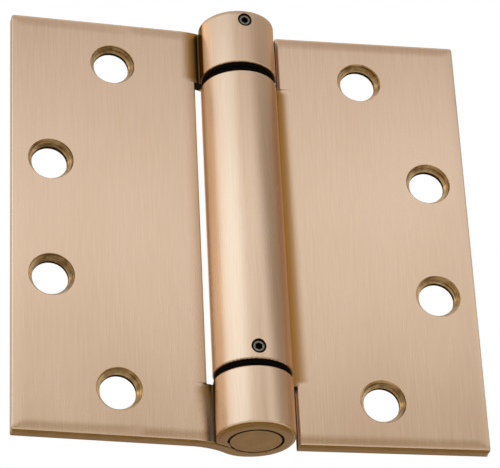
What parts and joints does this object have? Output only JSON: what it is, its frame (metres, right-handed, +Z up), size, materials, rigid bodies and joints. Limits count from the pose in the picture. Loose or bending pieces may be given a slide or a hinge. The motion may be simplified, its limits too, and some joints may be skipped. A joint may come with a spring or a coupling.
{
  "type": "spring loaded door hinge",
  "caption": "Full mortise butt hinge with a coil torsion spring in its long middle barrel, a short knuckle above and below, staggered countersunk screw holes and a satin bronze finish.",
  "frame": {"origin": "on the pin axis, halfway up the leaves", "axes": "+Z up along the pin; +X along the leaf with the middle barrel, away from the pin; +Y from the finished face to the back of that leaf"},
  "size_m": [0.1145, 0.019, 0.1142],
  "materials": {
    "satin_bronze": "steel plated in satin bronze, brushed along the pin",
    "bronze_plug": "turned steel plated in satin bronze",
    "black_nylon": "moulded nylon, matt",
    "black_steel": "black oxide, slightly oily",
    "spring_steel": "drawn spring wire, oiled",
    "plain_steel": "turned or punched, bright",
    "sintered_bronze": "sintered and oiled"
  },
  "bodies": {
    "barrel_leaf": {"barrel_leaf": "satin_bronze", "upper_bearing": "black_nylon", "lower_bearing": "black_nylon", "torsion_spring": "spring_steel", "lower_spring_washer": "plain_steel", "lower_spring_anchor": "plain_steel", "rod_tip_bush": "sintered_bronze", "pivot_bush": "sintered_bronze", "barrel_set_screw": "black_steel"},
    "knuckle_leaf": {"knuckle_leaf": "satin_bronze", "upper_bearing_washer": "black_steel", "pivot_plug": "bronze_plug", "pivot_thrust_washer": "plain_steel", "top_set_screw": "black_steel"},
    "adjuster": {"adjusting_plug": "bronze_plug", "adjuster_thrust_washer": "plain_steel", "spring_driver": "plain_steel", "driver_pin": "plain_steel", "guide_rod": "plain_steel", "upper_spring_washer": "plain_steel"}
  },
  "joints": [
    {"name": "leaf_swing", "type": "hinge", "parent": "barrel_leaf", "child": "knuckle_leaf", "pos_m": [0, 0, 0], "axis": [0, 0, 1], "range_deg": [-4.1, 175.9], "stiffness_Nm_per_rad": 0.6, "deforming": ["torsion_spring"]},
    {"name": "tension_adjust", "type": "hinge", "parent": "knuckle_leaf", "child": "adjuster", "pos_m": [0, 0, 0], "axis": [0, 0, -1], "range_deg": [0, 360], "deforming": ["torsion_spring"]}
  ]
}
